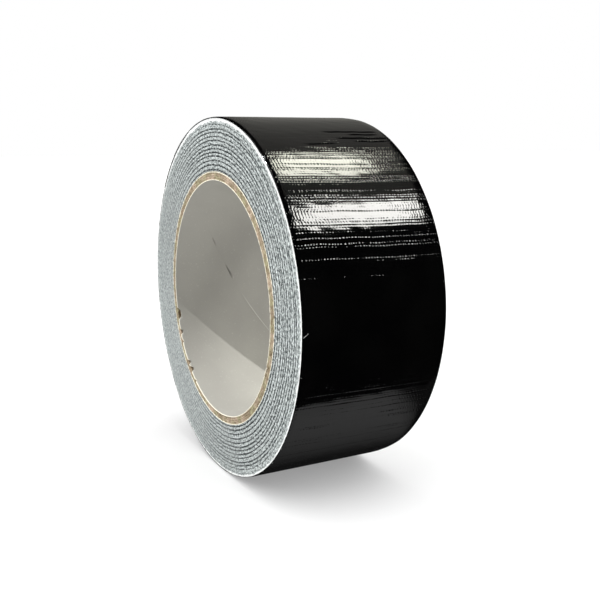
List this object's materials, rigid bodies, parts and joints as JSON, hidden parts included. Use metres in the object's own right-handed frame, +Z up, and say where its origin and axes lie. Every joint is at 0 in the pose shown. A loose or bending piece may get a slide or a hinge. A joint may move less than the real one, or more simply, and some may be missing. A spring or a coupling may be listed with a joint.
{
  "type": "duct tape roll",
  "caption": "Roll of black cloth duct tape wound on a laminated paper core, with a loose end that peels up from the rim.",
  "frame": {"origin": "where the rim touches the surface that the roll stands on, midway between the two side faces", "axes": "+Z up; +Y along the winding axis, through the core; +X across the rim. The tape winds outwards as the angle grows from +X towards +Z"},
  "size_m": [0.1154, 0.048, 0.1156],
  "materials": {
    "liner_paper": "matt smooth paper, cream to grey",
    "core_board": "matt kraft board, fibrous at its cut edge",
    "winding_edge": "cut edges of cloth, film and adhesive, fibrous",
    "adhesive": "tacky, slightly shiny",
    "scrim_cloth": "open plain weave of white yarns",
    "backing_film": "glossy black film embossed by the weave under it"
  },
  "bodies": {
    "roll": {"core_inner_liner": "liner_paper", "core_board_ply_1": "core_board", "core_board_ply_2": "core_board", "core_board_ply_3": "core_board", "core_board_ply_4": "core_board", "core_outer_liner": "liner_paper", "tape_inner_turns": "winding_edge", "outer_turn_adhesive": "adhesive", "outer_turn_cloth_scrim": "scrim_cloth", "outer_turn_backing_film": "backing_film"},
    "free_end": {"free_end_adhesive": "adhesive", "free_end_cloth_scrim": "scrim_cloth", "free_end_backing_film": "backing_film"}
  },
  "joints": [
    {"name": "free_end_peel", "type": "hinge", "parent": "roll", "child": "free_end", "pos_m": [-0.02461, 0, 0.11023], "axis": [0, 1, 0], "range_deg": [0, 75]}
  ]
}
